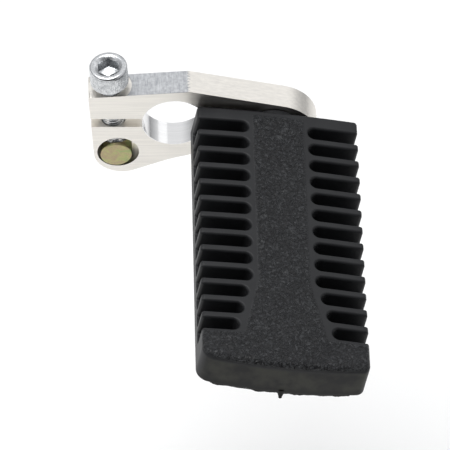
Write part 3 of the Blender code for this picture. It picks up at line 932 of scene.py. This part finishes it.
@dataclass
class ClampScrew:
    """The knurled socket head screw, slack above its seat."""

    head_radius: float = 6.6 * MM
    head_height: float = 8.0 * MM
    rim: float = 0.95 * MM
    foot_edge: float = 0.3 * MM
    length: float = 35.0 * MM
    lift: float = 2.8 * MM
    socket: float = 7.1 * MM
    socket_depth: float = 5.0 * MM
    mouth_radius: float = 4.75 * MM
    mouth_depth: float = 1.0 * MM
    knurls: int = 64
    knurl_radius: float = 0.24 * MM
    sides: int = 128

    def _head(self) -> bpy.types.Object:
        """Return the head with its socket."""
        top = self.head_height
        body = self.head_radius - 0.14 * MM
        groove = 0.16 * MM
        shoulder = top - self.rim - groove
        profile = [(body - self.foot_edge, 0.0), (body, self.foot_edge), (body, shoulder - 0.05 * MM),
                   (body - groove, shoulder), (body - groove, shoulder + groove * 0.5),
                   *arc((self.head_radius - self.rim, top - self.rim), self.rim, 0, 90, 8),
                   (self.mouth_radius + 0.2 * MM, top), (self.mouth_radius, top - 0.06 * MM)]
        item = as_object("head", turned(profile, self.sides))
        key = []
        for share, height in ((0.12, -self.socket_depth - 1.1 * MM), (1.0, -self.socket_depth), (1.0, MM)):
            key.append([Vector((share * point.x, share * point.y, top + height))
                        for point in hexagon(self.socket)])
        carve(item, as_object("key", loft(key)))
        flat = self.socket / 2 - 0.05 * MM
        mouth = turned([(flat, top - self.mouth_depth), (flat + 0.55 * MM, top - 0.62 * MM),
                        (self.mouth_radius, top - 0.06 * MM), (self.mouth_radius, top + MM)], self.sides)
        carve(item, as_object("mouth", mouth))
        return item

    def _knurl(self) -> bpy.types.Object:
        """Return the ring of straight ridges round the head's side."""
        low = self.foot_edge
        high = self.head_height - self.rim - 0.25 * MM
        tree = ShapeTree("knurl_ring", {
            "Count": self.knurls, "Ring Radius": self.head_radius - self.knurl_radius,
            "Ridge Radius": self.knurl_radius, "Length": high - low, "Middle": (low + high) / 2})
        circle = tree.shape("GeometryNodeMeshCircle", sockets={
            "Vertices": tree.size("Count"), "Radius": tree.size("Ring Radius")})
        ridge = tree.shape("GeometryNodeMeshCylinder", {"fill_type": "NGON"}, {
            "Vertices": 8, "Radius": tree.size("Ridge Radius"), "Depth": tree.size("Length")})
        ring = tree.shape("GeometryNodeInstanceOnPoints", sockets={"Points": circle, "Instance": ridge})
        lift = tree.combine(0.0, 0.0, tree.size("Middle"))
        ring = tree.shape("GeometryNodeTransform", sockets={"Geometry": ring, "Translation": lift})
        return as_object("knurl", tree.run(ring))

    def build(self, plate: LeverPlate, finish: bpy.types.Material) -> bpy.types.Object:
        """Return the finished screw, standing off its seat.

        Args:
            plate: The plate that it clamps.
            finish: What it is made of.
        """
        thread = Thread().build(-self.length, 0.3 * MM)
        item = joined("screw", [self._head(), self._knurl(), thread])
        shade(item, 30.0)
        where = plate.on_screw(plate.seat_height + self.lift)
        piece = Piece("socket_screw", Body.CLAMP_SCREW, Slot.SCREW, ("clamp_screw",))
        return piece.place(item, finish, where)


# ---------------------------------------------------------------- the peg


@dataclass
class Tread:
    """The moulded tread: crowned top, a comb of ribs on each side and a bulging free end."""

    middle: float = 33.85 * MM
    stem_z: float = 2.6 * MM
    width: float = 55.9 * MM
    thickness: float = 14.0 * MM
    top: float = 11.3 * MM
    crown: float = 1.0 * MM
    rear: float = -6.05 * MM
    length: float = 111.0 * MM
    flare: float = 0.9 * MM
    nose: float = 2.4 * MM
    corner: float = 3.0 * MM
    clamp_side_corner: float = 4.8 * MM
    rear_corner: float = 1.2 * MM
    shoulder: float = 1.1 * MM
    nose_shoulder: float = 2.3 * MM
    sole_edge: float = 1.1 * MM
    groove_count: int = 13
    groove_pitch: float = 7.41 * MM
    groove_width: float = 4.6 * MM
    groove_depth: float = 9.0 * MM
    groove_length: float = 17.5 * MM
    groove_step: float = 1.63 * MM
    even_grooves: int = 10
    rear_wall: float = 5.6 * MM
    rib_edge: float = 0.95 * MM
    rib_side: float = 1.05 * MM
    foot: float = 0.8 * MM
    belly_radius: float = 10.5 * MM
    belly_length: float = 20.0 * MM
    core_size: Vector = field(default_factory=lambda: Vector((18.6, 88.6, 6.6)) * MM)
    core_rear: float = -18.85 * MM
    boss_radius: float = 8.3 * MM
    collar_radius: float = 9.6 * MM
    collar_face: float = -5.15 * MM
    gap: float = 0.3 * MM
    overlap: float = 0.8 * MM
    nose_steps: int = 28
    crown_cuts: int = 36
    shoulder_reach: float = 9.0 * MM
    flash_seed: int = 11
    flash_steps: int = 90
    flash_margin: float = 4.0 * MM

    def plan(self) -> list[Vector]:
        """Return the outline from above, anticlockwise, with its free end bulging towards -Y."""
        half = self.width / 2
        wide = half + self.flare
        end = self.rear - self.length
        nose = []
        for part in range(1, self.nose_steps):
            across = -wide + 2 * wide * part / self.nose_steps
            if -wide + self.clamp_side_corner + MM < across < wide - self.corner - 1.5 * MM:
                nose.append((Vector((self.middle + across, self.nose_at(across))), 0.0))
        return rounded([
            (Vector((self.middle - half, self.rear)), self.rear_corner),
            (Vector((self.middle - wide, end)), self.clamp_side_corner),
            *nose,
            (Vector((self.middle + wide, end)), self.corner),
            (Vector((self.middle + half, self.rear)), self.rear_corner),
        ], step=9.0)

    def nose_at(self, across: float) -> float:
        """Return Y of the bulging free end at a distance from the tread's middle line."""
        wide = self.width / 2 + self.flare
        bulge = (wide * wide + self.nose * self.nose) / (2 * self.nose)
        rise = math.sqrt(bulge * bulge - across * across) - (bulge - self.nose)
        return self.rear - self.length - rise

    def shoulder_at(self, y: float) -> float:
        """Return the radius of the top's edge, which grows towards the free end."""
        start = self.rear - self.length + self.shoulder_reach
        share = min(1.0, max(0.0, (start - y) / self.shoulder_reach))
        return self.shoulder + (self.nose_shoulder - self.shoulder) * share * share

    def _blank(self) -> bpy.types.Object:
        """Return the tread before its grooves are cut."""
        bottom = self.top - self.thickness
        plan = self.plan()
        inner = inset(plan, 1.0 * MM)
        shifts = [(after - before) / (1.0 * MM) for before, after in zip(plan, inner)]
        rings = []
        for step in range(7):
            angle = math.pi / 2 * step / 6
            height = bottom + self.sole_edge * (1 - math.cos(angle))
            rings.append([(point + shift * self.sole_edge * (1 - math.sin(angle))).to_3d()
                          + Vector((0, 0, height)) for point, shift in zip(plan, shifts)])
        for step in range(8):
            angle = math.pi / 2 * step / 7
            ring = []
            for point, shift in zip(plan, shifts):
                radius = self.shoulder_at(point.y)
                moved = point + shift * radius * (1 - math.cos(angle))
                ring.append(Vector((moved.x, moved.y, self.top - radius * (1 - math.sin(angle)))))
            rings.append(ring)
        return as_object("blank", loft(rings))

    def _groove(self, side: Side, wall: float) -> bpy.types.Mesh:
        """Return one groove's cutter, flared at its mouth and at the side to round the ribs.

        Args:
            side: Which side it cuts.
            wall: How far the tread's side is from its middle.

        Returns:
            A closed mesh, centred on the groove in Y.
        """
        half = self.groove_width / 2
        inner = self.width / 2 - self.groove_length + half
        slack = 0.03 * MM
        bend = wall - self.rib_side + slack
        outer = wall + 3 * MM
        lower = [*arc((inner, 0), half, 180, 270, 7),
                 *arc((bend, -half - self.rib_side), self.rib_side, 90, 0, 5),
                 (outer, -half - self.rib_side)]
        points = [*lower, *((x, -y) for x, y in reversed(lower[1:]))]
        outline = [Vector((self.middle + side.value * x, y)) for x, y in points]
        if side is Side.CLAMP:
            outline.reverse()
        floor = self.top - self.groove_depth
        mouth = self.top - self.rib_edge + slack
        levels = [(self.foot * (1 - math.sin(angle)), floor + self.foot * (1 - math.cos(angle)))
                  for angle in (math.pi / 2 * step / 3 for step in range(4))]
        levels += [(-self.rib_edge * (1 - math.cos(angle)), mouth + self.rib_edge * math.sin(angle))
                   for angle in (math.pi / 2 * step / 6 for step in range(7))]
        levels.append((-self.rib_edge, self.top + 3 * MM))
        rings = [[Vector((point.x, point.y, height)) for point in inset(outline, depth)]
                 for depth, height in levels]
        mesh = bpy.data.meshes.new("groove")
        bm = loft(rings)
        bm.to_mesh(mesh)
        bm.free()
        return mesh

    def _grooves(self, side: Side, start: int) -> bpy.types.Object:
        """Return the cutters of every second groove on one side, from the given one on."""
        half = self.groove_width / 2
        first = self.rear - self.rear_wall - half
        slope = self.flare / self.length
        tree = ShapeTree("groove_row", {
            "Count": (self.groove_count - start + 1) // 2, "Pitch": self.groove_pitch,
            "First": first, "Start": start, "Middle": self.middle,
            "Near": self.width / 2 - self.groove_length + half + 0.5 * MM,
            "Even": self.even_grooves - 1, "Step": side.value * self.groove_step,
            "Slide": side.value * slope * self.groove_pitch})
        begin = tree.combine(0.0, tree.size("First") - tree.size("Start") * tree.size("Pitch"), 0.0)
        offset = tree.combine(0.0, tree.size("Pitch") * -2.0, 0.0)
        line = tree.shape("GeometryNodeMeshLine", {"mode": "OFFSET", "count_mode": "TOTAL"}, {
            "Count": tree.size("Count"), "Start Location": begin, "Offset": offset})
        row = tree.shape("GeometryNodeInstanceOnPoints", sockets={
            "Points": line, "Instance": tree.size("Geometry")})
        row = tree.shape("GeometryNodeRealizeInstances", sockets={0: row})
        x, y, _ = tree.split(tree.shape("GeometryNodeInputPosition"))
        place = (tree.size("First") - y) / tree.size("Pitch") + 0.5
        number = place - place.fraction()
        near = tree.math("LESS_THAN", abs(x - tree.size("Middle")), tree.size("Near"))
        beyond = (number - tree.size("Even")).most(0.0)
        shift = tree.combine(near * beyond * tree.size("Step") + number * tree.size("Slide"), 0.0, 0.0)
        row = tree.shape("GeometryNodeSetPosition", sockets={"Geometry": row, "Offset": shift})
        wall = self.width / 2 + slope * (self.rear - first)
        return as_object("grooves", outward(tree.run(row, start=self._groove(side, wall))))

    def _crown(self, item: bpy.types.Object) -> None:
        """Raise the top between its long edges, with enough cuts across to bend it."""
        half = self.width / 2 + self.flare
        floor = self.top - self.groove_depth
        bm = bmesh.new()
        bm.from_mesh(item.data)
        for part in range(1, self.crown_cuts):
            where = self.middle - half + 2 * half * part / self.crown_cuts
            bmesh.ops.bisect_plane(bm, geom=[*bm.verts, *bm.edges, *bm.faces], dist=0.001 * MM,
                                   plane_co=(where, 0, 0), plane_no=(1, 0, 0))
        for vert in bm.verts:
            share = min(1.0, abs(vert.co.x - self.middle) / half)
            weight = min(1.0, max(0.0, (vert.co.z - floor) / self.groove_depth))
            vert.co.z += self.crown * weight * (1 - share * share)
        bmesh.ops.dissolve_degenerate(bm, edges=bm.edges, dist=WELD)
        bm.to_mesh(item.data)
        bm.free()

    def _flash(self) -> bpy.types.Object:
        """Return the thin, torn mould flash and the nub under the free end's lower edge."""
        draw = random.Random(self.flash_seed)
        half = self.width / 2 - self.flash_margin
        bottom = self.top - self.thickness
        bm = bmesh.new()
        rows = []
        tall = 0.0
        for part in range(self.flash_steps + 1):
            across = -half + 2 * half * part / self.flash_steps
            y = self.nose_at(across) + 0.55 * MM
            x = self.middle + across
            ragged = 0.25 + 0.75 * max(0.0, math.sin(part * 0.37) * math.sin(part * 0.11 + 1.0))
            tall = 0.55 * tall + 0.45 * draw.uniform(0.1, 1.0) * ragged * MM
            tip = Vector((x, y - 0.35 * MM - tall * 0.4, bottom + 0.3 * MM - tall))
            rows.append([bm.verts.new((x, y + 0.5 * MM, bottom + 0.25 * MM)),
                         bm.verts.new((x, y - 0.45 * MM, bottom + 0.9 * MM)), bm.verts.new(tip)])
        for first, second in zip(rows, rows[1:]):
            for index in range(3):
                following = (index + 1) % 3
                bm.faces.new((first[index], first[following], second[following], second[index]))
        bm.faces.new(rows[0])
        bm.faces.new(rows[-1])
        bmesh.ops.recalc_face_normals(bm, faces=bm.faces)
        flash = as_object("flash", bm)
        nub = turned([(0.2 * MM, -2.3 * MM), (0.55 * MM, -2.1 * MM), (0.7 * MM, -1.4 * MM),
                      (1.15 * MM, -0.5 * MM), (1.7 * MM, 0.5 * MM)], 20)
        nub = as_object("nub", nub)
        down = Matrix.Rotation(math.radians(-38), 4, "X")
        nose_y = self.nose_at(0.0) + 0.65 * MM
        nub.data.transform(Matrix.Translation((self.middle + 0.3 * MM, nose_y, bottom + 0.35 * MM)) @ down)
        return joined("flash", [flash, nub])

    @property
    def _stem(self) -> Matrix:
        """The place of the stem's axis on the tread's rear face."""
        return Matrix.Translation((self.middle, self.rear, self.stem_z))

    def _belly(self) -> bpy.types.Object:
        """Return the rounded lump under the tread's rear end."""
        outline = [Vector(point) for point in arc((0, 0), self.belly_radius, 180, 360, 40)]
        item = as_object("belly", prism(outline, -self.belly_length, -self.overlap))
        item.data.transform(TO_BACK @ Matrix.Scale(-1, 4, (0, 1, 0)))
        item.data.transform(self._stem)
        bm = outward(item.data)
        bm.to_mesh(item.data)
        bm.free()
        soften(item, 1.2 * MM, 4, angle=60.0)
        return item

    def _collar(self) -> bpy.types.Object:
        """Return the round collar between the tread and the plate."""
        profile = [(self.collar_radius, self.rear - self.collar_face), (self.collar_radius, self.overlap)]
        item = as_object("collar", turned(profile, 96))
        item.data.transform(self._stem @ TO_FRONT)
        return item

    def _core_space(self) -> bpy.types.Object:
        """Return the room that the flat steel bar takes up."""
        half = self.core_size / 2
        low = (self.middle - half.x, self.core_rear - self.core_size.y, self.stem_z - half.z)
        return as_object("core_space", block(low, (self.middle + half.x, self.core_rear,
                                                   self.stem_z + half.z)))

    def _boss_space(self) -> bpy.types.Object:
        """Return the room that the round steel boss takes up."""
        item = as_object("boss_space", turned([(self.boss_radius, 0), (self.boss_radius, 20 * MM)], 64))
        start = (self.middle, self.core_rear - self.gap, self.stem_z)
        item.data.transform(Matrix.Translation(start) @ TO_BACK)
        return item

    def build(self, finish: bpy.types.Material) -> bpy.types.Object:
        """Return the finished tread."""
        item = self._blank()
        for side in Side:
            for start in (0, 1):
                carve(item, self._grooves(side, start), solver="MANIFOLD")
        self._crown(item)
        carve(item, self._belly(), "UNION", "MANIFOLD")
        carve(item, self._collar(), "UNION", "MANIFOLD")
        carve(item, self._core_space(), solver="MANIFOLD")
        carve(item, self._boss_space(), solver="MANIFOLD")
        item = joined("tread", [item, self._flash()])
        shade(item, 42.0)
        piece = Piece("rubber_tread", Body.PEG, Slot.TREAD, ("tread_pad",))
        return piece.place(item, finish)


@dataclass
class PegScrew:
    """The countersunk socket screw behind the plate, flush in it."""

    radius: float = 4.0 * MM
    head_radius: float = 7.7 * MM
    land: float = 0.4 * MM
    length: float = 20.0 * MM
    socket: float = 5.0 * MM
    socket_depth: float = 3.0 * MM
    sunk: float = 0.3 * MM
    sides: int = 128

    def build(self, plate: LeverPlate, tread: Tread, finish: bpy.types.Material) -> bpy.types.Object:
        """Return the finished screw.

        Args:
            plate: The plate that it lies flush in.
            tread: The tread whose stem it holds.
            finish: What it is made of.
        """
        cone = -self.land - (self.head_radius - self.radius)
        edge = 0.15 * MM
        profile = [(self.radius - 0.2 * MM, cone - 1.0 * MM), (self.radius - 0.2 * MM, cone - 0.2 * MM),
                   (self.radius, cone), (self.head_radius, -self.land), (self.head_radius, -edge),
                   (self.head_radius - edge, 0.0)]
        head = as_object("head", turned(profile, self.sides))
        carve(head, as_object("key", prism(hexagon(self.socket), -self.socket_depth, MM)))
        mouth = turned([(self.socket / 2 - 0.05 * MM, -0.4 * MM), (self.socket / 2 + 0.42 * MM, 0.0),
                        (self.socket / 2 + 0.42 * MM, MM)], 96)
        carve(head, as_object("mouth", mouth))
        thread = Thread(radius=self.radius).build(-self.length, cone - 0.6 * MM)
        item = joined("peg_screw", [head, thread])
        shade(item, 30.0)
        back = plate.thickness / 2 - self.sunk
        where = Matrix.Translation((tread.middle, back, tread.stem_z)) @ TO_BACK
        piece = Piece("countersunk_screw", Body.PEG_SCREW, Slot.SMALL, ("peg_screw",))
        return piece.place(item, finish, where)


# ---------------------------------------------------------------- the studio


@dataclass
class Studio:
    """A pale floor, soft light and the camera."""

    azimuth: float = math.radians(-13.37)
    elevation: float = math.radians(48.0)
    roll: float = math.radians(15.73)
    distance: float = 3.273
    lens: float = 761.4
    aim: Vector = field(default_factory=lambda: Vector((0.02056, -0.03198, -0.01949)))
    floor_z: float = -0.16
    floor_colour: Colour = (0.98, 0.98, 0.975)
    surround: float = 0.85

    def _camera(self) -> None:
        """Add the camera."""
        across = Vector((math.cos(self.azimuth), math.sin(self.azimuth), 0))
        away = Vector((math.sin(self.azimuth) * math.cos(self.elevation),
                       -math.cos(self.azimuth) * math.cos(self.elevation), math.sin(self.elevation)))
        above = away.cross(across)
        right = across * math.cos(self.roll) + above * math.sin(self.roll)
        up = above * math.cos(self.roll) - across * math.sin(self.roll)
        data = bpy.data.cameras.new("camera")
        data.lens = self.lens
        data.sensor_width = 36.0
        data.clip_end = 20.0
        camera = bpy.data.objects.new("camera", data)
        turn = Matrix((right, up, away)).transposed().to_4x4()
        camera.matrix_world = Matrix.Translation(self.aim + away * self.distance) @ turn
        bpy.context.scene.collection.objects.link(camera)
        bpy.context.scene.camera = camera

    def _panel(self, name: str, place: Sequence[float], size: float, watts: float) -> None:
        """Add a square soft light that faces the object."""
        data = bpy.data.lights.new(name, "AREA")
        data.size = size
        data.energy = watts
        light = bpy.data.objects.new(name, data)
        light.location = place
        light.rotation_euler = (self.aim - Vector(place)).to_track_quat("-Z", "Y").to_euler()
        bpy.context.scene.collection.objects.link(light)

    def _surroundings(self) -> None:
        """Add the light from all round, dimmer near the horizon and in a patch towards the camera."""
        world = bpy.data.worlds.new("studio")
        world.use_nodes = True
        graph = Graph(world.node_tree)
        world.node_tree.nodes.clear()
        look = Field(graph, graph.node("ShaderNodeTexCoord").outputs["Generated"])
        z = graph.split(look)[2]
        stops = ((0.0, (0.30, 0.30, 0.31)), (0.3, (0.50, 0.505, 0.515)), (1.0, (0.98, 0.985, 1.0)))
        tone = graph.node("ShaderNodeValToRGB", {"stops": stops}, {0: z.ramp(-0.05, 0.6)})
        toward = graph.node("ShaderNodeVectorMath", {"operation": "DOT_PRODUCT"},
                            {0: look, 1: (-0.12, -0.76, 0.64)})
        dim = Field(graph, toward.outputs["Value"]).ramp(0.55, 0.87)
        back = graph.node("ShaderNodeBackground", sockets={
            "Color": Field(graph, tone.outputs[0]),
            "Strength": (1 - dim * 0.9) * self.surround})
        output = graph.node("ShaderNodeOutputWorld")
        world.node_tree.links.new(back.outputs[0], output.inputs[0])
        bpy.context.scene.world = world

    def build(self) -> None:
        """Set the studio up."""
        bpy.context.scene.view_settings.view_transform = "Standard"
        self._camera()
        floor = bmesh.new()
        bmesh.ops.create_grid(floor, x_segments=8, y_segments=8, size=6.0)
        floor = as_object("floor", floor)
        floor.data.transform(Matrix.Translation((0, 0, self.floor_z)))
        paint = Surface("pale_floor", metallic=0.0)
        grain = paint.noise(paint.place, (3, 3, 3), detail=2)
        paint.dress(Base_Color=paint.blend(grain * 0.03, self.floor_colour, (0.9, 0.9, 0.9)), Roughness=0.8)
        floor.data.materials.append(paint.material)
        self._panel("key_light", (-0.55, 0.1, 1.5), 1.1, 20.5)
        self._panel("back_light", (0.9, 1.3, 1.35), 0.9, 0.8)
        self._surroundings()


def main() -> None:
    """Build the foot peg and its studio."""
    logging.basicConfig(level=logging.INFO, format="%(message)s")
    Studio().build()

    plate = LeverPlate()
    tread = Tread()
    aluminium = MilledAluminium(pitch=plate.pitch, bore_radius=plate.bore_radius,
                                bend=tuple(plate.bend), climb=plate.climb,
                                screw_x=plate.nut_at.x - 2.7 * MM).make()
    zinc = BrightZinc().make()
    small_zinc = BrightZinc(name="small_zinc", roughness=0.24).make()
    steel = BareSteel().make()
    last = tread.groove_pitch * tread.groove_count
    rubber = MouldedRubber(
        middle=tread.middle, plain_from=tread.rear - 2.2 * MM,
        grained_half=tread.width / 2 - tread.groove_length - 1.8 * MM,
        front_from=tread.rear - tread.rear_wall - last + 1.5 * MM,
        widen_from=tread.rear - tread.rear_wall - tread.groove_pitch * (tread.even_grooves - 0.5),
        widening=tread.groove_step / tread.groove_pitch, end=tread.rear - tread.length,
        top=tread.top, bottom=tread.top - tread.thickness).make()

    plate.build(aluminium)
    CrossNut().build(plate, YellowZinc().make())
    ClampScrew().build(plate, zinc)
    tread.build(rubber)
    PegScrew().build(plate, tread, small_zinc)
    for name, finish in (("core_plate", steel), ("core_boss", steel), ("toothed_washer", small_zinc)):
        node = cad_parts[name]
        node.data.materials.clear()
        node.data.materials.append(finish)
        LOG.info("%s: kept with a new finish", name)


if __name__ == "__main__":
    main()
